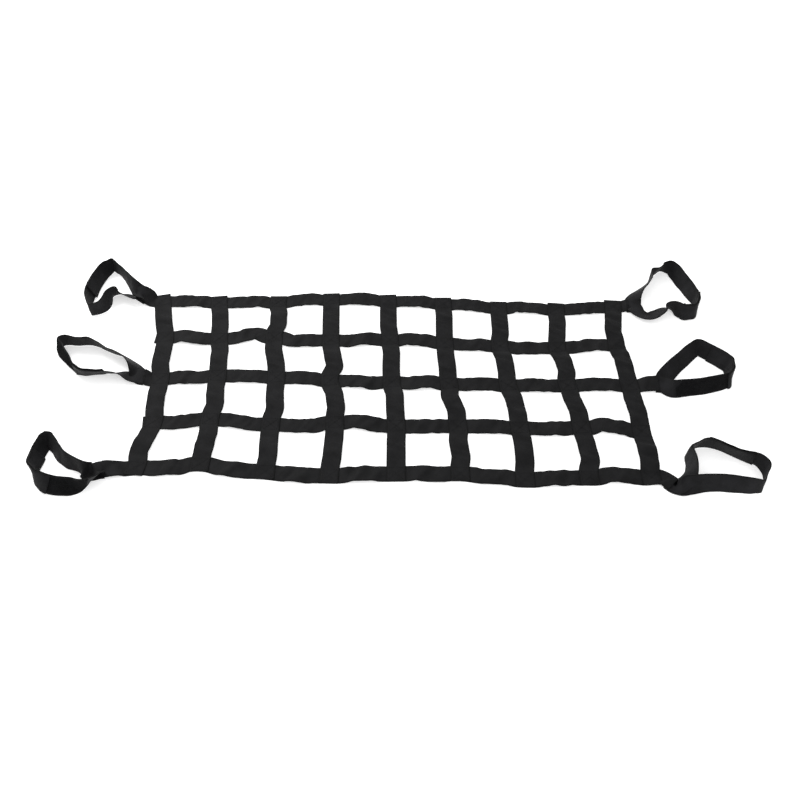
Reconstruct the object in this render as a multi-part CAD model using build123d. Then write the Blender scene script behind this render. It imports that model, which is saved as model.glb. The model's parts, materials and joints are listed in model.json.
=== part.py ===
# Flat cargo net of woven webbing with six hook-and-loop strap loops.
# Millimetres. +X along the long straps, +Y along the cross straps, +Z up.
# The origin is on the floor under the centre crossing.
import os
from math import ceil, cos, radians, sin, sqrt

from build123d import *

# webbing and tape
webbing_width = 38.0
webbing_thick = 1.8
tape_width = 34.0
tape_thick = 0.7
skin_gap = 0.05          # between pieces sewn face to face
closure_gap = 0.3        # between the pressed hook and pile faces

# net grid
bay = 130.0              # crossing to crossing, both ways
long_count = 5
cross_count = 9
hem = 22.0               # how far a plain strap end runs past the outer crossing

# sewing
thread_high = 0.4
thread_wide = 1.2
box_size = 30.0          # box-and-cross seam on each crossing

# strap ends that carry a loop
flat_past_crossing = 23.5
ramp_length = 6.0
top_setback = 6.0        # net strap's end stops short of the fold line
sewn_setback = 3.0       # tails' sewn ends stop short of the fold line
sewn_start = 1.0         # tails' sewn ends start past the ramp
seam_inset = 2.0         # seam stays inside the raised strap end
tail_setback = 2.0       # free tails start past the fold line
peel_setback = 1.6       # same on each side of a closure's peel line
tape_margin = 3.0        # tape ends this far inside the webbing's end

# free tails
over_twist_start = 2.0   # the upper tail turns onto its edge before the lower one
under_twist_start = 11.0
twist_length = 34.0
station_step = 5.0       # between sections of a tail
round_off = 1e-6         # lets a start or stop fall on a station

# sideways shift of each strap at its crossings, as the net lies
long_sway = [
    [10, 5, 5, 15, 10, 0, -15, -20, -10],
    [15, 10, 15, 5, 5, -5, -15, -20, -10],
    [10, 20, 15, 5, 0, -5, -10, -10, -10],
    [10, 20, 5, 10, 0, 0, -5, -5, -15],
    [15, 25, 5, -5, 0, 0, -15, -10, -10],
]
cross_sway = [
    [-25, 0, 10, 15, 0],
    [-20, -5, 5, 5, 0],
    [-10, -10, 5, 5, 5],
    [-15, -10, -5, 10, 5],
    [-10, -5, 0, 10, 10],
    [-10, -10, -5, 10, 10],
    [-10, -15, -5, 10, 10],
    [-5, -15, -5, 10, 10],
    [0, -10, 0, 5, 5],
]

# Each loop: the strap that carries it, the net side it is on, how far the strap
# runs past the outer crossing, and the way round from the back tail's root to the
# front tail's root. hook says which tail closes on the outside, cut is where that
# tail ends and overlap how much of it is pressed on, both measured along the way round.
loops = {
    "back_left": dict(
        strap=0, side=-1, reach=46, hook="front", cut=152, overlap=95, pile=110,
        way=[(-634, 316), (-684, 386), (-706, 350), (-718, 292), (-700, 228), (-674, 240),
             (-654, 274), (-624, 278)]),
    "middle_left": dict(
        strap=2, side=-1, reach=44, hook="front", cut=345, overlap=65, pile=190,
        way=[(-600, 42), (-638, 84), (-685, 108), (-738, 112), (-734, 75), (-700, 28),
             (-650, 17), (-600, 10)]),
    "front_left": dict(
        strap=4, side=-1, reach=72, hook="back", cut=292, overlap=100, pile=150,
        way=[(-634, -248), (-668, -226), (-702, -188), (-722, -225), (-718, -274),
             (-684, -302), (-640, -298)]),
    "back_right": dict(
        strap=0, side=1, reach=44, hook="front", cut=297, overlap=83, pile=110,
        way=[(602, 288), (630, 352), (672, 376), (696, 322), (716, 240), (700, 214),
             (648, 236), (606, 230)]),
    "middle_right": dict(
        strap=2, side=1, reach=68, hook="back", cut=283, overlap=108, pile=208,
        way=[(634, 30), (684, 90), (740, 50), (744, 0), (698, -24), (644, -26)]),
    "front_right": dict(
        strap=4, side=1, reach=46, hook="front", cut=160, overlap=95, pile=110,
        way=[(606, -240), (616, -204), (650, -184), (696, -211), (742, -234), (750, -280),
             (722, -304), (640, -298)]),
}

stacked = webbing_thick + skin_gap
top_of_tails = 2 * stacked
root_length = under_twist_start + twist_length
middle_long = (long_count - 1) / 2
middle_cross = (cross_count - 1) / 2
hook_shift = webbing_thick + 2 * (tape_thick + skin_gap) + closure_gap
pile_shift = webbing_thick / 2 + skin_gap + tape_thick / 2
up = Vector(0, 0, 1)


def crossing(row, column):
    x = (column - middle_cross) * bay + cross_sway[column][row]
    y = (middle_long - row) * bay + long_sway[row][column]
    return Vector(x, y, 0)


def long_line(row):
    return [crossing(row, column) for column in range(cross_count)]


def cross_line(column):
    return [crossing(row, column) for row in range(long_count)]


def extended(points, start_run, end_run):
    first = points[0] + (points[0] - points[1]).normalized() * start_run
    last = points[-1] + (points[-1] - points[-2]).normalized() * end_run
    return [first] + points[1:-1] + [last]


def webbing_strip(points, bottom):
    """Flat webbing through the points, mitred where it bends sideways."""
    left = []
    right = []
    for index, point in enumerate(points):
        before = points[max(index - 1, 0)]
        after = points[min(index + 1, len(points) - 1)]
        along = (after - before).normalized()
        across = up.cross(along) * (webbing_width / 2)
        left.append(point + across)
        right.append(point - across)
    outline = make_face(Polyline(*left, *reversed(right), close=True))
    return extrude(Pos(0, 0, bottom) * outline, webbing_thick, dir=(0, 0, 1))


def strap_end(row, side):
    """Fold line of a loop-carrying strap: its point, and the way the strap points."""
    line = long_line(row)
    if side < 0:
        line.reverse()
    return line[-1], (line[-1] - line[-2]).normalized()


def raised_end(row, side, reach):
    """Strap stretch past the outer crossing, which climbs onto the two sewn tails."""
    start, along = strap_end(row, side)
    climb = flat_past_crossing + ramp_length
    stop = reach - top_setback
    low = [(0, 0), (flat_past_crossing, 0), (climb, top_of_tails), (stop, top_of_tails)]
    high = [(u, v + webbing_thick) for u, v in reversed(low)]
    profile = make_face(Polyline(*low, *high, close=True))
    frame = Plane(origin=start, x_dir=along, z_dir=along.cross(up))
    return extrude(frame * profile, webbing_width / 2, both=True)


def long_strap(row):
    strip = webbing_strip(extended(long_line(row), hem, hem), 0)
    for loop in loops.values():
        if loop["strap"] == row:
            strip = strip + raised_end(row, loop["side"], loop["reach"])
    return strip


def cross_strap(column):
    return webbing_strip(extended(cross_line(column), hem, hem), webbing_thick)


def seam_box(length, width):
    hole = Rectangle(length - 2 * thread_wide, width - 2 * thread_wide)
    return Rectangle(length, width) - hole


def box_and_cross(row, column):
    """Square seam with both diagonals, through cross strap and long strap."""
    span = box_size - 2 * thread_wide
    seam = seam_box(box_size, box_size)
    for turn in (45, -45):
        seam += Rot(0, 0, turn) * Rectangle(span * sqrt(2), thread_wide)
    ahead = crossing(row, min(column + 1, cross_count - 1))
    behind = crossing(row, max(column - 1, 0))
    angle = up.cross(Vector(1, 0, 0)).get_signed_angle(up.cross(ahead - behind), up)
    base = 2 * webbing_thick
    return extrude(Location(crossing(row, column) + up * base, (0, 0, angle)) * seam, thread_high)


def end_seam(row, side, reach):
    """Seam through the raised strap end and both tails."""
    start, along = strap_end(row, side)
    near = flat_past_crossing + ramp_length + seam_inset
    far = reach - top_setback - seam_inset
    frame = Plane(
        origin=start + along * ((near + far) / 2) + up * (top_of_tails + webbing_thick),
        x_dir=along, z_dir=up)
    return extrude(frame * seam_box(far - near, box_size), thread_high)


def stitching(row):
    seams = [box_and_cross(row, column) for column in range(cross_count)]
    for loop in loops.values():
        if loop["strap"] == row:
            seams.append(end_seam(row, loop["side"], loop["reach"]))
    return Compound(children=[seam.solid() for seam in seams])


def sewn_ends(loop):
    """The two tails' ends under the strap, one on the other."""
    start, along = strap_end(loop["strap"], loop["side"])
    near = flat_past_crossing + ramp_length + sewn_start
    far = loop["reach"] - sewn_setback
    ends = []
    for level in (0, stacked):
        frame = Plane(
            origin=start + along * ((near + far) / 2) + up * (level + webbing_thick / 2),
            x_dir=along, z_dir=up)
        ends.append((frame * Box(far - near, webbing_width, webbing_thick)).solid())
    return Compound(children=ends)


def loop_path(loop):
    """Way round a loop from fold line to fold line, both ends square to that line."""
    start, along = strap_end(loop["strap"], loop["side"])
    root = start + along * (loop["reach"] + tail_setback)
    return Spline(root, *loop["way"], root, tangents=[along, along * -1], tangent_scalars=[1, 1])


def smooth(value):
    value = min(max(value, 0.0), 1.0)
    return value * value * (3 - 2 * value)


def outward_at(loop, path, distance):
    """Horizontal way out of the loop, square to the path."""
    return path.tangent_at(distance / path.length).cross(up) * (loop["side"] * -1)


def plan_station(loop, path, distance, shift):
    """Point of a layer on the path seen from above. shift is how far out the layer lies."""
    from_root = min(distance, path.length - distance)
    away = shift * smooth(from_root / root_length)
    return path.position_at(distance / path.length) + outward_at(loop, path, distance) * away


def station_run(path):
    return path.length / round(path.length / station_step)


def standing_strip(loop, path, start, stop, shift, width, thick):
    """Ribbon on its edge. All layers share one set of stations, so they stay parallel."""
    run = station_run(path)
    low = int(start / run + round_off)
    high = int(stop / run - round_off) + 1
    outer = []
    inner = []
    for index in range(low, high + 1):
        point = plan_station(loop, path, index * run, shift)
        across = outward_at(loop, path, index * run) * (thick / 2)
        outer.append(point + across)
        inner.append(point - across)
    first = start / run - low
    last = stop / run - (high - 1)
    for side in (outer, inner):
        side[0], side[-1] = (
            side[0] * (1 - first) + side[1] * first,
            side[-2] * (1 - last) + side[-1] * last)
    outline = make_face(Polyline(*outer, *reversed(inner), close=True))
    return extrude(Pos(0, 0, (webbing_width - width) / 2) * outline, width, dir=(0, 0, 1))


def twisted_root(loop, path, start, stop, shift, over):
    """Webbing that leaves the strap end flat and turns onto its edge."""
    wires = []
    twist_start = over_twist_start if over else under_twist_start
    lift = stacked if over else 0.0
    count = round(abs(stop - start) / station_step) + 1
    for index in range(count):
        distance = start + (stop - start) * index / (count - 1)
        from_root = min(distance, path.length - distance)
        on_edge = radians(90) * smooth((from_root - twist_start) / twist_length)
        towards_back = outward_at(loop, path, distance)
        if towards_back.Y < 0:
            towards_back = towards_back * -1
        height = webbing_width / 2 * sin(on_edge) + (webbing_thick / 2 + lift) * cos(on_edge)
        section = Plane(
            origin=plan_station(loop, path, distance, shift) + up * height,
            x_dir=towards_back * cos(on_edge) + up * sin(on_edge),
            z_dir=path.tangent_at(distance / path.length))
        wires.append((section * Rectangle(webbing_width, webbing_thick)).wire())
    return Part(Solid.make_loft(wires, ruled=True).wrapped)


def tail(loop, path, start, stop, shift, over):
    """One tail from its root at start to its end at stop."""
    run = station_run(path)
    on_edge_from = ceil(root_length / run) * run
    if start > stop:
        on_edge_from = path.length - on_edge_from
    low, high = sorted((on_edge_from, stop))
    strip = standing_strip(loop, path, low, high, shift, webbing_width, webbing_thick)
    return strip + twisted_root(loop, path, start, on_edge_from, shift, over)


def loop_pieces(name, loop):
    path = loop_path(loop)
    cut = loop["cut"]
    if loop["hook"] == "back":
        hook_root, pile_root, ahead = 0.0, path.length, 1
    else:
        hook_root, pile_root, ahead = path.length, 0.0, -1
    hook_over = loop["hook"] == "front"
    peel = cut - ahead * loop["overlap"]
    flap = sorted((peel + ahead * peel_setback, cut))
    hook_tape = sorted((peel + ahead * 2 * tape_margin, cut - ahead * tape_margin))
    pile_tape = sorted((peel + ahead * tape_margin, peel + ahead * loop["pile"]))
    webbing = (webbing_width, webbing_thick)
    tape = (tape_width, tape_thick)
    hook_tail = tail(loop, path, hook_root, peel - ahead * peel_setback, hook_shift, hook_over)
    pile_tail = tail(loop, path, pile_root, peel, 0.0, not hook_over)
    # the lower tail gives way where the two twists brush
    if hook_over:
        pile_tail = pile_tail - hook_tail
    else:
        hook_tail = hook_tail - pile_tail
    hinge = plan_station(loop, path, peel, hook_shift)
    print(name, "way round", round(path.length), "peel line", round(hinge.X, 1), round(hinge.Y, 1))
    return {
        "hook_tail": hook_tail,
        "hook_flap": standing_strip(loop, path, *flap, hook_shift, *webbing),
        "hook_tape": standing_strip(loop, path, *hook_tape, hook_shift - pile_shift, *tape),
        "pile_tail": pile_tail,
        "pile_tape": standing_strip(loop, path, *pile_tape, pile_shift, *tape),
        "sewn_ends": sewn_ends(loop),
    }


os.makedirs("parts", exist_ok=True)
for row in range(long_count):
    export_step(long_strap(row), f"parts/long_strap_{row + 1}.step")
    export_step(stitching(row), f"parts/stitching_{row + 1}.step")
for column in range(cross_count):
    export_step(cross_strap(column), f"parts/cross_strap_{column + 1}.step")
for name, loop in loops.items():
    fold, along = strap_end(loop["strap"], loop["side"])
    axis_point = fold + along * loop["reach"]
    print(name, "fold line", round(axis_point.X, 1), round(axis_point.Y, 1))
    for piece, solid in loop_pieces(name, loop).items():
        export_step(solid, f"parts/{name}_{piece}.step")
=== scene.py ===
import json
import math
import bpy
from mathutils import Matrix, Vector


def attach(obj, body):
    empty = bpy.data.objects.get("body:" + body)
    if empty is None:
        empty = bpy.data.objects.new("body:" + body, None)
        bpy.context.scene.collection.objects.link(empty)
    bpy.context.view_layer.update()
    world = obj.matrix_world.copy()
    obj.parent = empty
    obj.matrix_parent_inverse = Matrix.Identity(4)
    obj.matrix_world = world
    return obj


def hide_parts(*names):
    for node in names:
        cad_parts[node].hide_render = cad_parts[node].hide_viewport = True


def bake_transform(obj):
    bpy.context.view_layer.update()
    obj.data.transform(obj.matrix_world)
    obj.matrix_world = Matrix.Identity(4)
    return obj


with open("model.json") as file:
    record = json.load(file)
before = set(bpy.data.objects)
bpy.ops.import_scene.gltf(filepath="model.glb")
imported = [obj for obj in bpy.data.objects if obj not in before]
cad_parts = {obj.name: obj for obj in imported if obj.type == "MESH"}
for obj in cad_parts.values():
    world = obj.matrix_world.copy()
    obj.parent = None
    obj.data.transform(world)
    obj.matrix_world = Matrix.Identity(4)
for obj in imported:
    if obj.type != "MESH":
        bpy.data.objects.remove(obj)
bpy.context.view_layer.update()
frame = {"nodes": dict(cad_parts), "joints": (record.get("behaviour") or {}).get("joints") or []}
nodes = frame["nodes"]
joints = {joint["name"]: joint for joint in frame["joints"]}
up = Vector((0, 0, 1))
print("stage: frame loaded")


def addNode(tree, kind, inputs=None, **settings):
    node = tree.nodes.new(kind)
    for name, value in settings.items():
        setattr(node, name, value)
    for key, value in (inputs or {}).items():
        if isinstance(value, bpy.types.NodeSocket):
            tree.links.new(value, node.inputs[key])
        else:
            node.inputs[key].default_value = value
    return node


def newTree(name, sizes):
    # sizes: input name -> (socket type, default)
    tree = bpy.data.node_groups.new(name, "GeometryNodeTree")
    tree.interface.new_socket("Geometry", in_out="INPUT", socket_type="NodeSocketGeometry")
    for label, (kind, default) in sizes.items():
        socket = tree.interface.new_socket(label, in_out="INPUT", socket_type="NodeSocket" + kind)
        if default is not None:
            socket.default_value = default
    tree.interface.new_socket("Geometry", in_out="OUTPUT", socket_type="NodeSocketGeometry")
    return tree, addNode(tree, "NodeGroupInput").outputs


def finishTree(tree, geometry, material):
    real = addNode(tree, "GeometryNodeRealizeInstances", {0: geometry})
    painted = addNode(tree, "GeometryNodeSetMaterial", {0: real.outputs[0], "Material": material})
    addNode(tree, "NodeGroupOutput", {0: painted.outputs[0]})
    return tree


def linear(hexColour):
    channels = [int(hexColour[i:i + 2], 16) / 255 for i in (1, 3, 5)]
    return [c / 12.92 if c <= 0.04045 else ((c + 0.055) / 1.055) ** 2.4 for c in channels] + [1.0]


def guideMesh(name, lines):
    # lines: one list of (point, roll, pucker, facing) for each run of webbing or thread
    verts, edges, rolls, puckers, faces = [], [], [], [], []
    for line in lines:
        for i, (point, roll, pucker, *facing) in enumerate(line):
            if i:
                edges.append((len(verts) - 1, len(verts)))
            verts.append(point)
            rolls.append(roll)
            puckers.append(pucker)
            faces.extend(facing[0] if facing else up)
    mesh = bpy.data.meshes.new(name)
    mesh.from_pydata(verts, edges, [])
    mesh.attributes.new("roll", "FLOAT", "POINT").data.foreach_set("value", rolls)
    mesh.attributes.new("pucker", "FLOAT", "POINT").data.foreach_set("value", puckers)
    mesh.attributes.new("facing", "FLOAT_VECTOR", "POINT").data.foreach_set("vector", faces)
    return mesh


def grown(name, guide, tree, sizes, finishing=()):
    # runs the tree on the guide and keeps the result as a plain mesh
    carrier = bpy.data.objects.new(name + "_guide", guide)
    bpy.context.scene.collection.objects.link(carrier)
    modifier = carrier.modifiers.new("grow", "NODES")
    modifier.node_group = tree
    sockets = {item.name: item.identifier for item in tree.interface.items_tree if item.in_out == "INPUT"}
    for label, value in sizes.items():
        modifier[sockets[label]] = value
    for kind, settings in finishing:
        extra = carrier.modifiers.new(kind.lower(), kind)
        for key, value in settings.items():
            setattr(extra, key, value)
    bpy.context.view_layer.update()
    ready = carrier.evaluated_get(bpy.context.evaluated_depsgraph_get())
    mesh = bpy.data.meshes.new_from_object(ready)
    mesh.name = name
    carrier.modifiers.clear()
    bpy.data.objects.remove(carrier)
    piece = bpy.data.objects.new(name, mesh)
    bpy.context.scene.collection.objects.link(piece)
    return piece


weave = {
    "warpPitch": 2.4,      # mm between the ribs that run along the strap, drawn half as fine as the real 1.2
    "weftPitch": 2.0,      # mm between the picks across, drawn coarse too so that they show
    "depth": 0.25,         # mm
    "creaseShadeScale": 34.0,     # per metre: painted crease shade, bands of lighter and darker tone every 30 mm or so that stand in for the shading of the soft creases
}


def patternCoords(tree):
    # webbing carries its own coordinates in metres: x along it, y across it
    uv = addNode(tree, "ShaderNodeUVMap", uv_map="UVMap")
    return addNode(tree, "ShaderNodeSeparateXYZ", {0: uv.outputs[0]}).outputs


def math2(tree, operation, a, b=0.0, c=0.0):
    return addNode(tree, "ShaderNodeMath", {0: a, 1: b, 2: c}, operation=operation).outputs[0]


def wovenMaterial(name, dark, light, roughness, gloss, sheen, along, across, depth, fuzz, halfWidth=1.0):
    # ribs and picks from their real pitches, thread noise, painted crease shade in slow bands across the strap, and
    # painted shade darkening the selvedge
    material = bpy.data.materials.new(name)
    material.use_nodes = True
    tree = material.node_tree
    tree.nodes.clear()
    u, v = patternCoords(tree)[:2]
    ribs = math2(tree, "SINE", math2(tree, "MULTIPLY", v, 2 * math.pi * 1000 / across))
    picks = math2(tree, "SINE", math2(tree, "MULTIPLY", u, 2 * math.pi * 1000 / along))
    height = math2(tree, "MULTIPLY_ADD", ribs, 0.45, math2(tree, "MULTIPLY", ribs, picks))
    place = addNode(tree, "ShaderNodeCombineXYZ", {0: u, 1: v}).outputs[0]
    threads = addNode(tree, "ShaderNodeTexNoise", {"Vector": place, "Scale": 900.0, "Detail": 3.0, "Roughness": 0.6}).outputs[0]
    body = addNode(tree, "ShaderNodeTexCoord").outputs["Object"]
    # painted crease shade: this noise lightens and darkens the colour in slow bands where creases would catch light and
    # fall into shade; it also varies the roughness
    paintedCreaseShade = addNode(tree, "ShaderNodeTexNoise", {
        "Vector": body, "Scale": weave["creaseShadeScale"], "Detail": 3.0, "Roughness": 0.55}).outputs[0]
    toneWithPaintedShade = math2(tree, "MULTIPLY_ADD", height, 0.12,
                 math2(tree, "MULTIPLY_ADD", threads, 0.35, math2(tree, "MULTIPLY_ADD", paintedCreaseShade, 1.3, -0.33)))
    ramp = addNode(tree, "ShaderNodeValToRGB", {0: toneWithPaintedShade})
    for element, position, colour in zip(ramp.color_ramp.elements, (0.2, 0.8), (dark, light)):
        element.position, element.color = position, linear(colour)
    # painted shade along the edges: the colour runs to near black in the last 3 mm of each edge, where the rolled
    # selvedge turns away from the light
    edge = addNode(tree, "ShaderNodeMapRange", {
        0: math2(tree, "ABSOLUTE", v), 1: halfWidth - 0.0034, 2: halfWidth - 0.0012, 3: 1.0, 4: 0.2})
    shade = addNode(tree, "ShaderNodeMix", {"Factor": edge.outputs[0], "A": linear("#050505"), "B": ramp.outputs[0]}, data_type="RGBA")
    rough = math2(tree, "MULTIPLY_ADD", paintedCreaseShade, 0.16, roughness - 0.08)
    relief = math2(tree, "MULTIPLY_ADD", threads, fuzz, height)
    bump = addNode(tree, "ShaderNodeBump", {"Height": relief, "Strength": 0.6, "Distance": depth / 1000})
    shader = addNode(tree, "ShaderNodeBsdfPrincipled", {
        "Base Color": shade.outputs["Result"], "Roughness": rough, "Normal": bump.outputs[0],
        "IOR": 1.5, "Sheen Weight": sheen, "Sheen Roughness": 0.5, "Specular IOR Level": gloss})
    addNode(tree, "ShaderNodeOutputMaterial", {0: shader.outputs[0]})
    return material


# polypropylene webbing, solution dyed and plain woven: dull black with a faint grey bloom on its ribs, with painted
# shade darkening it towards the selvedge and painted crease shade in slow bands
netWebbing = wovenMaterial("polypropyleneWebbing", "#0a0a0b", "#19191a", 0.68, 0.09, 0.02,
                           weave["weftPitch"], weave["warpPitch"], weave["depth"], 0.5, 0.0197)
# the same webbing in the tails, drawn a shade lighter and a touch glossier
tailWebbing = wovenMaterial("polypropyleneTailWebbing", "#0b0b0c", "#1b1b1d", 0.66, 0.1, 0.03,
                            weave["weftPitch"], weave["warpPitch"], weave["depth"], 0.5, 0.0197)
# nylon hook tape, moulded hooks on a woven base: slightly shiny grey black
hookNylon = wovenMaterial("nylonHookTape", "#0e0e10", "#1c1c1e", 0.45, 0.25, 0.02, 1.6, 1.6, 0.2, 0.2)
# brushed nylon pile: no gloss at all, the deepest black of the set
pileNylon = wovenMaterial("nylonPileTape", "#09090a", "#161617", 0.95, 0.05, 0.04, 1.5, 1.5, 0.35, 1.6)
# bonded polyester thread, twisted and waxed: a small highlight on each stitch
bondedThread = wovenMaterial("bondedThread", "#08080a", "#131315", 0.5, 0.1, 0.02, 0.6, 0.6, 0.05, 0.1)
print("stage: materials made")


def sweptRibbon(tree, given):
    # an open ribbon along the guide, Width wide, turned by the guide's roll, with "along" and "across" in metres
    curve = addNode(tree, "GeometryNodeMeshToCurve", {0: given["Geometry"]})
    even = addNode(tree, "GeometryNodeResampleCurve", {0: curve.outputs[0], 3: given["Station"]}, mode="LENGTH")
    upright = addNode(tree, "GeometryNodeSetCurveNormal", {0: even.outputs[0]}, mode="Z_UP")
    roll = addNode(tree, "GeometryNodeInputNamedAttribute", {"Name": "roll"})
    turned = addNode(tree, "GeometryNodeSetCurveTilt", {0: upright.outputs[0], "Tilt": roll.outputs[0]})
    run = addNode(tree, "GeometryNodeSplineParameter")
    marked = addNode(tree, "GeometryNodeStoreNamedAttribute", {0: turned.outputs[0], "Name": "along", "Value": run.outputs["Length"]})
    half = math2(tree, "MULTIPLY", given["Width"], 0.5)
    left = addNode(tree, "ShaderNodeCombineXYZ", {0: math2(tree, "MULTIPLY", half, -1.0)})
    right = addNode(tree, "ShaderNodeCombineXYZ", {0: half})
    section = addNode(tree, "GeometryNodeCurvePrimitiveLine", {"Start": left.outputs[0], "End": right.outputs[0]})
    points = math2(tree, "ADD", given["Strips"], 1.0)
    divided = addNode(tree, "GeometryNodeResampleCurve", {0: section.outputs[0], "Count": points})
    place = addNode(tree, "ShaderNodeSeparateXYZ", {0: addNode(tree, "GeometryNodeInputPosition").outputs[0]})
    ruled = addNode(tree, "GeometryNodeStoreNamedAttribute", {0: divided.outputs[0], "Name": "across", "Value": place.outputs[0]})
    return addNode(tree, "GeometryNodeCurveToMesh", {0: marked.outputs[0], 1: ruled.outputs[0]}).outputs[0]


def makeWebbingTree():
    tree, given = newTree("webbingAlongGuide", {
        "Width": ("Float", 0.038), "Station": ("Float", 0.003), "Strips": ("Int", 8),
        "Crease": ("Float", 0.0), "Crease Pitch": ("Float", 0.03), "Seed": ("Float", 0.0), "Floor": ("Float", 0.001),
        "Material": ("Material", None)})
    ribbon = sweptRibbon(tree, given)
    along = addNode(tree, "GeometryNodeInputNamedAttribute", {"Name": "along"}).outputs[0]
    across = addNode(tree, "GeometryNodeInputNamedAttribute", {"Name": "across"}).outputs[0]
    pucker = addNode(tree, "GeometryNodeInputNamedAttribute", {"Name": "pucker"}).outputs[0]
    # creases run slantwise over the webbing and die out at the seams
    slanted = math2(tree, "MULTIPLY_ADD", across, 0.55, along)
    scaled = math2(tree, "DIVIDE", slanted, given["Crease Pitch"])
    sideways = math2(tree, "MULTIPLY", across, 14.0)
    field = addNode(tree, "ShaderNodeCombineXYZ", {0: scaled, 1: sideways, 2: given["Seed"]})
    noise = addNode(tree, "ShaderNodeTexNoise", {"Vector": field.outputs[0], "Scale": 1.0, "Detail": 1.5, "Roughness": 0.5})
    swing = math2(tree, "MULTIPLY", math2(tree, "SUBTRACT", noise.outputs[0], 0.5), 2.0)
    amount = math2(tree, "MULTIPLY", math2(tree, "MULTIPLY", swing, given["Crease"]), pucker)
    push = addNode(tree, "ShaderNodeVectorMath", {
        0: addNode(tree, "GeometryNodeInputNormal").outputs[0], "Scale": amount}, operation="SCALE")
    creased = addNode(tree, "GeometryNodeSetPosition", {0: ribbon, "Offset": push.outputs[0]})
    # nothing sinks into what the net lies on
    spot = addNode(tree, "ShaderNodeSeparateXYZ", {0: addNode(tree, "GeometryNodeInputPosition").outputs[0]}).outputs
    lifted = addNode(tree, "ShaderNodeCombineXYZ", {0: spot[0], 1: spot[1], 2: math2(tree, "MAXIMUM", spot[2], given["Floor"])})
    laid = addNode(tree, "GeometryNodeSetPosition", {0: creased.outputs[0], "Position": lifted.outputs[0]})
    flat = addNode(tree, "ShaderNodeCombineXYZ", {0: along, 1: across})
    mapped = addNode(tree, "GeometryNodeStoreNamedAttribute", {
        0: laid.outputs[0], "Name": "UVMap", "Value": flat.outputs[0]}, data_type="FLOAT2", domain="CORNER")
    smooth = addNode(tree, "GeometryNodeSetShadeSmooth", {0: mapped.outputs[0]})
    return finishTree(tree, smooth.outputs[0], given["Material"])


def makeStitchTree():
    tree, given = newTree("stitchesAlongSeam", {
        "Pitch": ("Float", 0.004), "Length": ("Float", 0.0032), "Thread": ("Float", 0.0007),
        "Material": ("Material", None)})
    curve = addNode(tree, "GeometryNodeMeshToCurve", {0: given["Geometry"]})
    even = addNode(tree, "GeometryNodeResampleCurve", {0: curve.outputs[0], 3: given["Pitch"]}, mode="LENGTH")
    bead = addNode(tree, "GeometryNodeMeshUVSphere", {"Segments": 6, "Rings": 4, "Radius": 0.5})
    size = addNode(tree, "ShaderNodeCombineXYZ", {0: given["Length"], 1: given["Thread"], 2: given["Thread"]})
    heading = addNode(tree, "FunctionNodeAlignRotationToVector", {"Vector": addNode(tree, "GeometryNodeInputTangent").outputs[0]}, axis="X")
    row = addNode(tree, "GeometryNodeInstanceOnPoints", {
        0: even.outputs[0], "Instance": bead.outputs[0], "Rotation": heading.outputs[0], "Scale": size.outputs[0]})
    return finishTree(tree, row.outputs[0], given["Material"])


def makeTuftTree(name, tuftShape):
    # one small shape on every point of the ribbon's grid, standing the way the guide faces
    tree, given = newTree(name, {
        "Width": ("Float", 0.03), "Station": ("Float", 0.003), "Strips": ("Int", 10), "Height": ("Float", 0.001),
        "Thread": ("Float", 0.0003), "Disorder": ("Float", 0.3), "Seed": ("Int", 0), "Material": ("Material", None)})
    ribbon = sweptRibbon(tree, given)
    facing = addNode(tree, "GeometryNodeInputNamedAttribute", {"Name": "facing"}, data_type="FLOAT_VECTOR").outputs[0]
    astray = addNode(tree, "FunctionNodeRandomValue", {
        0: (-1, -1, -1), 1: (1, 1, 1), "Seed": given["Seed"]}, data_type="FLOAT_VECTOR").outputs[0]
    bent = addNode(tree, "ShaderNodeVectorMath", {0: astray, "Scale": given["Disorder"]}, operation="SCALE").outputs[0]
    heading = addNode(tree, "ShaderNodeVectorMath", {0: facing, 1: bent}, operation="ADD").outputs[0]
    turned = addNode(tree, "FunctionNodeAlignRotationToVector", {"Vector": heading}, axis="Z").outputs[0]
    size = addNode(tree, "FunctionNodeRandomValue", {2: 0.8, 3: 1.1, "Seed": given["Seed"]}, data_type="FLOAT").outputs[1]
    field = addNode(tree, "GeometryNodeInstanceOnPoints", {
        0: ribbon, "Instance": tuftShape(tree, given), "Rotation": turned, "Scale": size})
    return finishTree(tree, field.outputs[0], given["Material"])


def hookShape(tree, given):
    # a stem that bends over and comes half way down again
    top = addNode(tree, "ShaderNodeCombineXYZ", {2: math2(tree, "MULTIPLY", given["Height"], 1.7)}).outputs[0]
    tip = addNode(tree, "ShaderNodeCombineXYZ", {
        0: math2(tree, "MULTIPLY", given["Height"], 0.8), 2: math2(tree, "MULTIPLY", given["Height"], 0.55)}).outputs[0]
    stem = addNode(tree, "GeometryNodeCurveQuadraticBezier", {"Resolution": 4, "Start": (0, 0, 0), "Middle": top, "End": tip})
    wire = addNode(tree, "GeometryNodeCurvePrimitiveCircle", {"Resolution": 3, "Radius": math2(tree, "MULTIPLY", given["Thread"], 0.5)})
    return addNode(tree, "GeometryNodeCurveToMesh", {0: stem.outputs[0], 1: wire.outputs[0], "Fill Caps": True}).outputs[0]


def pileShape(tree, given):
    # a soft tuft, wide at its foot
    return addNode(tree, "GeometryNodeMeshCone", {
        "Vertices": 5, "Radius Top": math2(tree, "MULTIPLY", given["Thread"], 0.35),
        "Radius Bottom": given["Thread"], "Depth": given["Height"]}).outputs[0]


webbingTree = makeWebbingTree()
hookTree = makeTuftTree("hooksOnTape", hookShape)
pileTree = makeTuftTree("pileOnTape", pileShape)
stitchTree = makeStitchTree()
print("stage: trees built")


webbing = {
    "width": 0.0395,
    "thickness": 0.0018,
    "selvedge": 0.0006,     # rounding of the edges
    "station": 0.003,       # between sections
    "strips": 8,            # faces across
    "crease": 0.0062,       # height of the soft creases between seams
    "creasePitch": 0.025,
}


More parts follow.
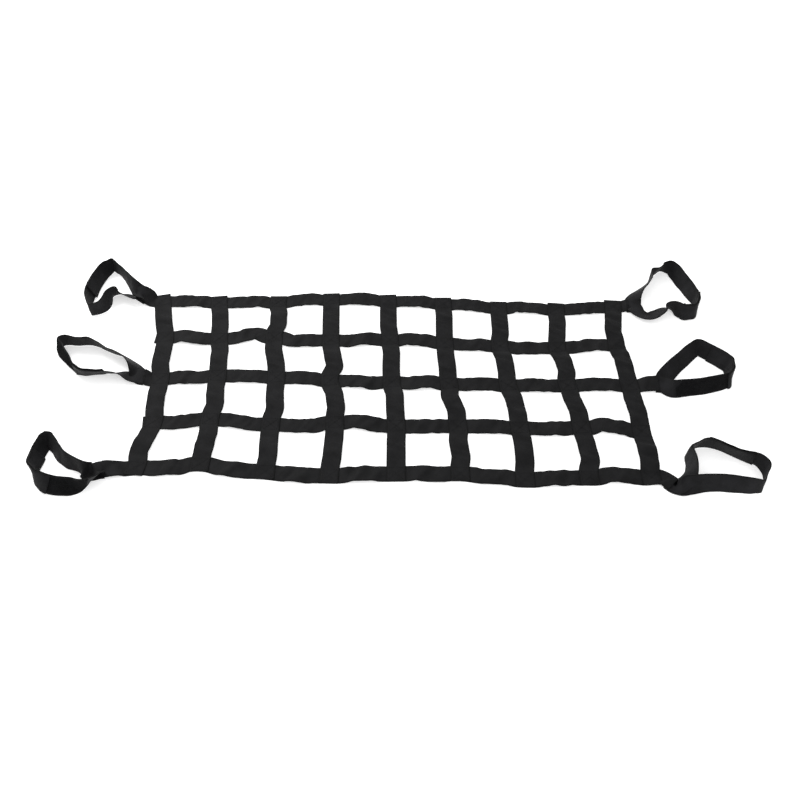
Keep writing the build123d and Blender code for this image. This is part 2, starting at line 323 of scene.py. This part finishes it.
def hermite(stations, step):
    # smooth run through the stations, each a tuple of numbers whose first three are the place
    places = [Vector(s[:3]) for s in stations]
    gaps = [max((b - a).length, 1e-6) for a, b in zip(places, places[1:])]
    slopes = []
    for i in range(len(stations)):
        lo, hi = max(i - 1, 0), min(i + 1, len(stations) - 1)
        span = sum(gaps[lo:hi])
        if 0 < i < len(stations) - 1:
            before, after = gaps[i - 1], gaps[i]
            slopes.append([((b - a) / before * after + (c - b) / after * before) / span
                           for a, b, c in zip(stations[lo], stations[i], stations[hi])])
        else:
            slopes.append([(b - a) / span for a, b in zip(stations[lo], stations[hi])])
    run = []
    for i, gap in enumerate(gaps):
        count = max(1, round(gap / step))
        for k in range(count):
            t = k / count
            h = (2 * t ** 3 - 3 * t ** 2 + 1, t ** 3 - 2 * t ** 2 + t, -2 * t ** 3 + 3 * t ** 2, t ** 3 - t ** 2)
            run.append([h[0] * a + h[1] * gap * m + h[2] * b + h[3] * gap * n for a, m, b, n in
                        zip(stations[i], slopes[i], stations[i + 1], slopes[i + 1])])
    return run + [list(stations[-1])]


def webbingPiece(name, line, material, width=None, thickness=None, crease=None, seed=0.0):
    thick = thickness or webbing["thickness"]
    finishing = (
        ("SOLIDIFY", {"thickness": thick, "offset": 0.0, "use_even_offset": False}),
        ("BEVEL", {"width": min(webbing["selvedge"], thick * 0.35), "segments": 2, "limit_method": "ANGLE",
                   "angle_limit": math.radians(50), "harden_normals": False}))
    piece = grown(name, guideMesh(name, [line]), webbingTree, {
        "Width": width or webbing["width"], "Station": webbing["station"], "Strips": webbing["strips"],
        "Crease": webbing["crease"] if crease is None else crease, "Crease Pitch": webbing["creasePitch"],
        "Seed": seed, "Floor": thick / 2 + 0.0001, "Material": material}, finishing)
    return piece


net = {
    "hem": 0.022,           # back and left ends past their outer crossing
    "frontHem": 0.0195,     # the same at the front, where the ends are flush with the border
    "flatEnd": 0.0215,      # a strap that carries a loop is flat as far out as this
    "endSetback": 0.006,    # it stops this far short of the place where the tails bend off
    "seamHalf": 0.017,      # webbing stays straight and flat this far from a crossing
    "restHeight": 0.0016,   # how far loose webbing floats off the floor between seams
    # humps between crossings, millimetres: lift, then how far the strap strays sideways before and after the middle
    "longBays": [
        [(3, -1, 2), (2, 0, 3), (2, 4, 4), (4, 3, 2), (3, 2, 2), (2, 2, 0), (2, 5, 2), (3, -3, -2)],
        [(4, 3, -4), (2, 1, 15), (2, -11, -6), (3, -3, 4), (4, 4, 4), (2, -3, -1), (2, -6, -4), (2, -2, 2)],
        [(3, 0, -4), (2, 0, 0), (2, 2, 3), (3, 0, -5), (5, -4, 2), (2, -2, 3), (4, -1, -3), (4, 1, 1)],
        [(2, -5, -2), (2, 0, -4), (2, -6, -8), (5, 5, -2), (2, -2, -1), (2, 0, 0), (3, -4, -3), (4, 10, 5)],
        [(2, -5, -5), (2, -4, -4), (2, -3, -4), (4, 0, 0), (2, 1, -3), (2, -2, 0), (4, -1, -1), (3, 6, 3)],
    ],
    # the same for the cross straps, each bay from back to front, straying to the right
    "crossBays": [
        [(3, 0, 0), (4, 0, -3), (3, -1, -1), (4, -1, -5)],
        [(3, 2, 2), (4, 3, 1), (3, 1, 5), (4, 3, 1)],
        [(4, 5, 6), (4, -3, 1), (3, 1, 5), (4, 0, 2)],
        [(3, 0, 0), (4, 3, 9), (4, 5, 6), (4, 2, 2)],
        [(3, -1, -2), (4, 2, 0), (5, 3, 1), (3, 0, 0)],
        [(3, 1, 0), (4, -1, 0), (5, -4, 3), (4, -1, 3)],
        [(3, 1, 2), (4, 2, 2), (5, 3, 3), (4, 3, 3)],
        [(3, 2, 0), (5, 3, 5), (5, -1, 3), (4, 4, 7)],
        [(4, -2, -5), (5, 2, 1), (4, -1, 2), (4, 2, 3)],
    ],
}
layer = 0.00185             # one thickness of webbing and the air under the next


def crossingsOf(row):
    # the crossing seams of one long strap, left to right, from the CAD seams that lie on it
    spots = sorted((v.co.x, v.co.y) for v in nodes[f"stitching_{row + 1}"].data.vertices if v.co.z < 0.0042)
    groups = [[spots[0]]]
    for spot in spots[1:]:
        if spot[0] - groups[-1][-1][0] > 0.02:
            groups.append([])
        groups[-1].append(spot)
    return [Vector(((min(p[0] for p in g) + max(p[0] for p in g)) / 2,
                    (min(p[1] for p in g) + max(p[1] for p in g)) / 2, 0)) for g in groups]


crossings = [crossingsOf(row) for row in range(5)]
loopNames = {"back_left": (0, -1), "middle_left": (2, -1), "front_left": (4, -1),
             "back_right": (0, 1), "middle_right": (2, 1), "front_right": (4, 1)}


def foldLine(name):
    # where a loop bends off its strap, and the way the strap points there
    joint = joints[name + "_swing"]
    axis = Vector(joint["axis"])
    return Vector(joint["pos_m"]), Vector((-axis.y, axis.x, 0))


# Stations of each way round in millimetres: x, y, roll in degrees. A roll of 90 stands on its edge, 0 and 180 lie flat,
# and "fold" marks a sharp crease. The tilt lifts the back edge of the strap's end, and the slide moves it back.
loops = {
    "back_left": {
        "hook": "front", "cut": 152, "overlap": 95, "pile": 110, "tilt": 42, "slide": 9,
        "way": [(-600, 287, 135), (-616, 304, 116), (-634, 329, 100), (-650, 351, 92), (-667, 371, 90), (-681, 384, 95, "fold"),
                (-695, 367, 110), (-703, 345, 115), (-710, 315, 117), (-713, 288, 118), (-712, 258, 108), (-702, 222, 95, "fold"),
                (-687, 227, 92), (-675, 244, 75), (-670, 268, 80), (-660, 287, 110), (-648, 289, 122), (-630, 277, 128), (-608, 270, 132)]},
    "middle_left": {
        "hook": "front", "cut": 345, "overlap": 65, "pile": 190, "tilt": 14, "slide": 7,
        "way": [(-562, 28, 20), (-576, 48, 48), (-600, 69, 58), (-630, 83, 62), (-655, 99, 68), (-682, 113, 72),
                (-712, 112, 74), (-738, 116, 80), (-752, 108, 78), (-739, 82, 70), (-725, 62, 78), (-708, 40, 88), (-696, 24, 98, "fold"),
                (-680, 17, 112), (-652, 18, 122), (-620, 20, 126), (-596, 19, 140), (-574, 14, 165)]},
    "front_left": {
        "hook": "back", "cut": 292, "overlap": 100, "pile": 180, "tilt": 12, "slide": -4,
        "way": [(-604, -260, 160), (-618, -262, 110), (-636, -254, 98), (-656, -244, 106), (-677, -226, 112), (-698, -196, 115),
                (-710, -184, 122, "fold"), (-716, -208, 122), (-719, -234, 118), (-720, -260, 106), (-709, -283, 78, "fold"),
                (-687, -296, 50), (-656, -303, 46), (-630, -306, 68), (-612, -303, 98), (-596, -287, 126)]},
    "back_right": {
        "hook": "front", "cut": 297, "overlap": 83, "pile": 110, "tilt": 4, "slide": -2,
        "way": [(570, 270, 160), (582, 288, 138), (602, 308, 124), (616, 326, 110), (622, 346, 90), (636, 357, 112),
                (654, 375, 112, "fold"), (672, 374, 84), (683, 360, 62), (692, 332, 62), (703, 298, 66),
                (713, 264, 74, "fold"), (711, 236, 85), (700, 214, 100),
                (680, 212, 108, "fold"), (660, 228, 92), (645, 236, 56), (618, 222, 28), (596, 213, 22), (576, 227, 14)]},
    "middle_right": {
        "hook": "back", "cut": 283, "overlap": 108, "pile": 230, "tilt": 18, "slide": -2,
        "way": [(598, 6, 24), (620, 30, 38), (650, 59, 45), (674, 83, 50), (688, 94, 57, "fold"), (709, 77, 54), (732, 55, 57),
                (742, 40, 66, "fold"),
                (741, 4, 90), (734, -11, 103, "fold"), (720, -16, 110), (696, -23, 114), (664, -30, 118),
                (634, -33, 120), (608, -30, 145)]},
    "front_right": {
        "hook": "front", "cut": 160, "overlap": 95, "pile": 110, "tilt": -6, "slide": -24,
        "way": [(588, -290, 165), (602, -268, 130), (608, -242, 114), (606, -214, 100, "fold"), (622, -201, 106), (646, -192, 102),
                (668, -199, 106), (694, -216, 108), (722, -232, 102), (742, -242, 88), (751, -258, 76), (746, -282, 88),
                (735, -304, 92, "fold"), (716, -303, 102), (686, -299, 112), (654, -295, 116), (622, -296, 118), (594, -299, 140)]},
}


def toFold(name):
    # how far the tails bend off past the border seam, and the way there
    strap, side = loopNames[name]
    border = crossings[strap][0 if side < 0 else 8]
    fold, outward = foldLine(name)
    return border, outward, (fold - border).dot(outward)


def rootPlace(name, out, high):
    # centre of the webbing at the root of a loop, out from the border seam, with the tilt it has there
    border, outward, reach = toFold(name)
    share = max(out - net["flatEnd"], 0.0) / (reach - net["flatEnd"])
    tilt = math.radians(loops[name]["tilt"]) * share
    place = border + outward * out + Vector((0, loops[name]["slide"] / 1000 * share, 0))
    return (*(place + up * (high + math.sin(tilt) * webbing["width"] / 2)), tilt)


def layStrap(points, bays, height, ends):
    # stations of a strap: flat over each seam, humped between, and over the sewn tails at an end with a loop
    stations = []
    last = len(points) - 1
    for i, point in enumerate(points):
        before, after = points[max(i - 1, 0)], points[min(i + 1, last)]
        along = (after - before).normalized()
        seamEnds = [(*(point + along * net["seamHalf"] * k + up * height), 0.0) for k in (-1, 1)]
        if 0 < i < last:
            stations += seamEnds
        elif i in ends:
            stop = toFold(ends[i])[2] - net["endSetback"]
            end = [rootPlace(ends[i], out, height + rise) for out, rise in ((net["flatEnd"], 0), (0.032, 2 * layer), (stop, 2 * layer))]
            stations += [*reversed(end), seamEnds[1]] if i == 0 else [seamEnds[0], *end]
        else:
            outward = along * (-net["hem"] if i == 0 else net["frontHem"])
            end = (*(point + outward + up * height), 0.0)
            stations += [end, seamEnds[1]] if i == 0 else [seamEnds[0], end]
        if i < last:
            lift, early, late = bays[i]
            ahead = points[i + 1] - point
            side = up.cross(ahead).normalized()
            for share, amount, stray in ((0.32, 0.75, early), (0.5, 1.0, (early + late) / 2), (0.68, 0.75, late)):
                place = point + ahead * share + side * stray / 1000
                stations.append((*(place + up * (net["restHeight"] + lift / 1000 * amount)), 0.0))
    return stations


def strapLine(stations, points):
    line = []
    for x, y, z, roll in hermite(stations, 0.005):
        away = min((Vector((x, y, 0)) - p).length for p in points)
        line.append((Vector((x, y, z)), roll, min(max((away - 0.018) / 0.02, 0.0), 1.0)))
    return line


def layNet():
    for row in range(5):
        ends = {0 if side < 0 else 8: name for name, (strap, side) in loopNames.items() if strap == row}
        stations = layStrap(crossings[row], net["longBays"][row], webbing["thickness"] / 2, ends)
        strap = webbingPiece(f"long_webbing_{row + 1}", strapLine(stations, crossings[row]), netWebbing, seed=row * 3.7)
        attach(strap, "net")
        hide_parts(f"long_strap_{row + 1}")
    for column in range(9):
        points = [crossings[row][column] for row in range(5)]
        stations = layStrap(points, net["crossBays"][column], webbing["thickness"] * 1.5 + 0.0001, {})
        strap = webbingPiece(f"cross_webbing_{column + 1}", strapLine(stations, points), netWebbing, seed=40 + column * 2.3)
        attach(strap, "net")
        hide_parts(f"cross_strap_{column + 1}")

layNet()
print("stage: net laid")


seam = {"box": 0.030, "pitch": 0.0042, "stitch": 0.0034, "thread": 0.0008, "edge": 0.0145}


def boxSeam(centre, along, height):
    # the four sides of the box and its two diagonals
    half = seam["box"] / 2
    across = up.cross(along)
    corners = [centre + along * half * a + across * half * b + up * height for a, b in ((-1, -1), (1, -1), (1, 1), (-1, 1))]
    return [(corners[i], corners[(i + 1) % 4]) for i in range(4)] + [(corners[0], corners[2]), (corners[1], corners[3])]


def endSeam(name):
    # the box that sews both tails under the end of the strap, following its tilt
    near, far = 0.0335, toFold(name)[2] - 0.0085
    corners = []
    for out, sign in ((near, -1), (far, -1), (far, 1), (near, 1)):
        *place, tilt = rootPlace(name, out, 2 * layer + webbing["thickness"])
        over = Vector((0, math.cos(tilt), math.sin(tilt)))
        corners.append(Vector(place) + over * sign * seam["box"] / 2 + over.cross(Vector((-1, 0, 0))) * 0.0002)
    return [(corners[i], corners[(i + 1) % 4]) for i in range(4)]


def sewSeams():
    for row in range(5):
        runs = []
        for column, point in enumerate(crossings[row]):
            ahead = crossings[min(row + 1, 4)][column] - crossings[max(row - 1, 0)][column]
            runs += boxSeam(point, ahead.normalized(), webbing["thickness"] * 2 + 0.0001)
        for name, (strap, side) in loopNames.items():
            if strap == row:
                runs += endSeam(name)
        lines = []
        for a, b in runs:                                   # each run stops half a stitch short of its corners
            trim = (b - a).normalized() * min(seam["pitch"], (b - a).length / 2) / 2
            lines.append([(a + trim, 0.0, 0.0), (b - trim, 0.0, 0.0)])
        stitches = grown(f"seams_{row + 1}", guideMesh("seam", lines), stitchTree, {
            "Pitch": seam["pitch"], "Length": seam["stitch"], "Thread": seam["thread"], "Material": bondedThread})
        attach(stitches, "net")
        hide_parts(f"stitching_{row + 1}")


sewSeams()
print("stage: seams sewn")


closure = {"shift": 0.0036, "pileShift": 0.0013, "tapeWidth": 0.034, "tapeThick": 0.0007, "margin": 0.003, "blend": 0.02,
           "crease": 0.008, "root": 0.012, "clear": 0.03, "ease": 0.04, "lead": 0.002, "bend": 0.058, "hingeHeight": 0.019}


def wayRound(name):
    # dense run of [x, y, z, roll, distance] from the back tail's sewn end to the front tail's sewn end
    way = []
    for i, (x, y, roll, *fold) in enumerate(loops[name]["way"]):
        neighbours = [loops[name]["way"][i + k] for k in (-1, 1)] if fold else []
        near = []
        for other in neighbours:
            share = closure["crease"] * 1000 / math.dist((x, y), other[:2])
            near.append(tuple(a + (b - a) * share for a, b in zip((x, y, roll), other[:3])))
        way += [near[0], (x, y, roll), near[1]] if fold else [(x, y, roll)]
    lean = -1 if loopNames[name][1] > 0 else 1
    stations = []
    reach = toFold(name)[2]
    for out in (reach - closure["root"], reach):
        x, y, z, tilt = rootPlace(name, out, webbing["thickness"] / 2)
        stations.append((x, y, z, (0 if way[0][2] < 90 else math.pi) - lean * tilt))
    for x, y, roll in way:
        turn = math.radians(roll)
        z = abs(math.sin(turn)) * webbing["width"] / 2 + abs(math.cos(turn)) * webbing["thickness"] / 2 + 0.0003
        stations.append((x / 1000, y / 1000, z, turn))
    for out in (reach, reach - closure["root"]):
        x, y, z, tilt = rootPlace(name, out, webbing["thickness"] / 2 + layer)
        stations.append((x, y, z, (0 if way[-1][2] < 90 else math.pi) + lean * tilt))
    distance, run = 0.0, hermite(stations, 0.004)
    for before, point in zip([run[0]] + run, run):
        distance += math.dist(before[:3], point[:3])
        point.append(distance)
    return run


def faceNormal(run, i):
    # out of the webbing's face; with a roll of 90 degrees it points left of the way
    a, b = run[max(i - 1, 0)], run[min(i + 1, len(run) - 1)]
    along = (Vector(b[:3]) - Vector(a[:3])).normalized()
    right = along.cross(up).normalized()
    across = right * math.cos(run[i][3]) - up * math.sin(run[i][3])
    return along.cross(across).normalized()


def stretch(run, start, stop, shift, easeFrom, pucker=0.3, sideways=0.0, height=0.0):
    # part of the way round, moved out of its face by shift once it is clear of the root at easeFrom
    line = []
    for distance in [start] + [p[4] for p in run if start + 0.001 < p[4] < stop - 0.001] + [stop]:
        i = max(1, next((k for k, p in enumerate(run) if p[4] >= distance - 1e-7), len(run) - 1))
        share = (distance - run[i - 1][4]) / (run[i][4] - run[i - 1][4])
        x, y, z, roll = (a + (b - a) * share for a, b in zip(run[i - 1][:4], run[i][:4]))
        normal = faceNormal(run, i - 1).lerp(faceNormal(run, i), share).normalized()
        along = (Vector(run[i][:3]) - Vector(run[i - 1][:3])).normalized()
        ease = min(max((abs(distance - easeFrom) - closure["clear"]) / closure["ease"], 0.0), 1.0)
        ease = ease * ease * (3 - 2 * ease)
        place = Vector((x, y, z)) + normal * (shift * ease + height) + along.cross(normal) * sideways
        line.append((place, roll, pucker, normal * (1 if height >= 0 else -1)))
    return line


# real hooks stand 1.2 mm apart; these and the pile are drawn coarser so that they show and stay light
bristle = {"hookPitch": 0.0028, "hookHeight": 0.0012, "hookWire": 0.00045, "pilePitch": 0.0024, "pileHeight": 0.0011, "pileThread": 0.0011,
           "width": 0.030}


def tufts(name, line, tree, material, pitch, height, thread, seed):
    return grown(name, guideMesh(name, [line]), tree, {
        "Width": bristle["width"], "Station": pitch, "Strips": round(bristle["width"] / pitch), "Height": height,
        "Thread": thread, "Disorder": 0.35, "Seed": seed, "Material": material})


def tapeSeams(name, run, lo, hi, shift, root, height):
    # a row of stitches along each edge of a tape and one across each end, on the webbing's other face
    rows = [stretch(run, lo, hi, shift, root, sideways=side * seam["edge"], height=height) for side in (-1, 1)]
    for end in (0, -1):
        rows.append([rows[0][end], rows[1][end]])
    return grown(name, guideMesh(name, rows), stitchTree, {
        "Pitch": seam["pitch"], "Length": seam["stitch"], "Thread": seam["thread"], "Material": bondedThread})


def makeLoop(name, facts, seed):
    run = wayRound(name)
    total = run[-1][4]
    out = loopNames[name][1]         # left of the way is outward on the right-hand side only
    cut = facts["cut"] / 1000 + closure["root"]
    ahead = 1 if facts["hook"] == "back" else -1
    peel = cut - ahead * facts["overlap"] / 1000
    hookRoot, pileRoot = (0.0, total) if ahead > 0 else (total, 0.0)
    shift, pileShift, margin = closure["shift"] * out, closure["pileShift"] * out, closure["margin"]
    skin = webbing["thickness"] / 2 + 0.0001

    def part(label, a, b, offset, root, material, *tape):
        lo, hi = sorted((a, b))
        return webbingPiece(f"{name}_{label}", stretch(run, lo, hi, offset, root, 0.0 if tape else 0.3), material, *tape, seed=seed)

    tape = closure["tapeWidth"], closure["tapeThick"], 0.0
    hookTail = part("hook_webbing", hookRoot, peel, shift, hookRoot, tailWebbing)
    flap = part("flap_webbing", peel, cut, shift, hookRoot, tailWebbing)
    pileTail = part("pile_webbing", pileRoot, peel, 0.0, pileRoot, tailWebbing)
    hookEnds = sorted((peel + ahead * 2 * margin, cut - ahead * margin))
    pileEnds = sorted((peel + ahead * margin, peel + ahead * facts["pile"] / 1000))
    hookTape = part("hook_tape_cloth", *hookEnds, shift - pileShift, hookRoot, hookNylon, *tape)
    pileTape = part("pile_tape_cloth", *pileEnds, pileShift, pileRoot, pileNylon, *tape)
    hookFoot, pileFoot = shift - pileShift - tape[1] / 2 * out, pileShift + tape[1] / 2 * out
    hookLine = [(p, roll, k, -facing * out) for p, roll, k, facing in
                stretch(run, hookEnds[0] + margin, hookEnds[1] - margin, hookFoot, hookRoot)]
    pileLine = [(p, roll, k, facing * out) for p, roll, k, facing in
                stretch(run, pileEnds[0] + margin, pileEnds[1] - margin, pileFoot, pileRoot)]
    hooks = tufts(name + "_hooks", hookLine, hookTree, hookNylon,
                  bristle["hookPitch"], bristle["hookHeight"], bristle["hookWire"], int(seed))
    pile = tufts(name + "_pile", pileLine, pileTree, pileNylon,
                 bristle["pilePitch"], bristle["pileHeight"], bristle["pileThread"], int(seed))
    hookSeams = tapeSeams(name + "_hook_seams", run, *hookEnds, shift, hookRoot, skin * out)
    pileSeams = tapeSeams(name + "_pile_seams", run, *pileEnds, 0.0, pileRoot, -skin * out)
    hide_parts(name + "_hook_tail", name + "_sewn_ends")
    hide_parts(name + "_hook_flap")
    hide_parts(name + "_pile_tail")
    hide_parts(name + "_hook_tape")
    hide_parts(name + "_pile_tape")
    # the pile side and then the hook side are baked in place as plain meshes
    for piece in (hookTail, pileTail, pileTape, pile, pileSeams):
        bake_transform(piece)
    for piece in (flap, hookTape, hooks, hookSeams):
        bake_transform(piece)


for number, (name, facts) in enumerate(loops.items()):
    makeLoop(name, facts, 11.0 + number * 5)
print("stage: loops made")


def makeFloor():
    mesh = bpy.data.meshes.new("floor")
    s = 30.0
    mesh.from_pydata([(-s, -s, -0.0004), (s, -s, -0.0004), (s, s, -0.0004), (-s, s, -0.0004)], [], [(0, 1, 2, 3)])
    floor = bpy.data.objects.new("floor", mesh)
    bpy.context.scene.collection.objects.link(floor)
    material = bpy.data.materials.new("glowingPaperSweep")
    material.use_nodes = True
    shader = material.node_tree.nodes["Principled BSDF"]
    shader.inputs["Base Color"].default_value = linear("#f6f6f6")
    shader.inputs["Roughness"].default_value = 0.9
    shader.inputs["Specular IOR Level"].default_value = 0.1
    shader.inputs["Emission Color"].default_value = linear("#ffffff")
    shader.inputs["Emission Strength"].default_value = 0.42   # the floor glows though it is no lamp: painted light that keeps the shadows pale
    mesh.materials.append(material)


def makeLight(name, place, target, size, power):
    lamp = bpy.data.lights.new(name, "AREA")
    lamp.shape, lamp.size, lamp.size_y, lamp.energy = "RECTANGLE", size[0], size[1], power
    light = bpy.data.objects.new(name, lamp)
    bpy.context.scene.collection.objects.link(light)
    light.location = place
    light.rotation_mode = "QUATERNION"
    light.rotation_quaternion = (Vector(target) - Vector(place)).to_track_quat("-Z", "Y")


studio = {
    "world": 0.8,
    "key": ((-1.6, 1.5, 1.9), (0, 0, 0), (1.8, 1.0), 60),
    "fill": ((0.9, -2.2, 1.8), (0, 0, 0), (2.5, 1.5), 26),
}
makeFloor()
world = bpy.data.worlds.new("studio")
world.use_nodes = True
world.node_tree.nodes["Background"].inputs["Color"].default_value = linear("#ffffff")
world.node_tree.nodes["Background"].inputs["Strength"].default_value = studio["world"]
bpy.context.scene.world = world
makeLight("keyLight", *studio["key"])
makeLight("fillLight", *studio["fill"])
bpy.context.scene.view_settings.view_transform = "Standard"

camera = {"target": (0.018, -0.0523, 0.0), "elevation": 46.34, "distance": 2.2565, "lens": 46.98}
lens = bpy.data.cameras.new("camera")
lens.lens, lens.sensor_width = camera["lens"], 36
eye = bpy.data.objects.new("camera", lens)
bpy.context.scene.collection.objects.link(eye)
tilt = math.radians(camera["elevation"])
eye.location = Vector(camera["target"]) + Vector((0, -math.cos(tilt), math.sin(tilt))) * camera["distance"]
eye.rotation_euler = (math.radians(90 - camera["elevation"]), 0, 0)
bpy.context.scene.camera = eye
print("stage: camera set")
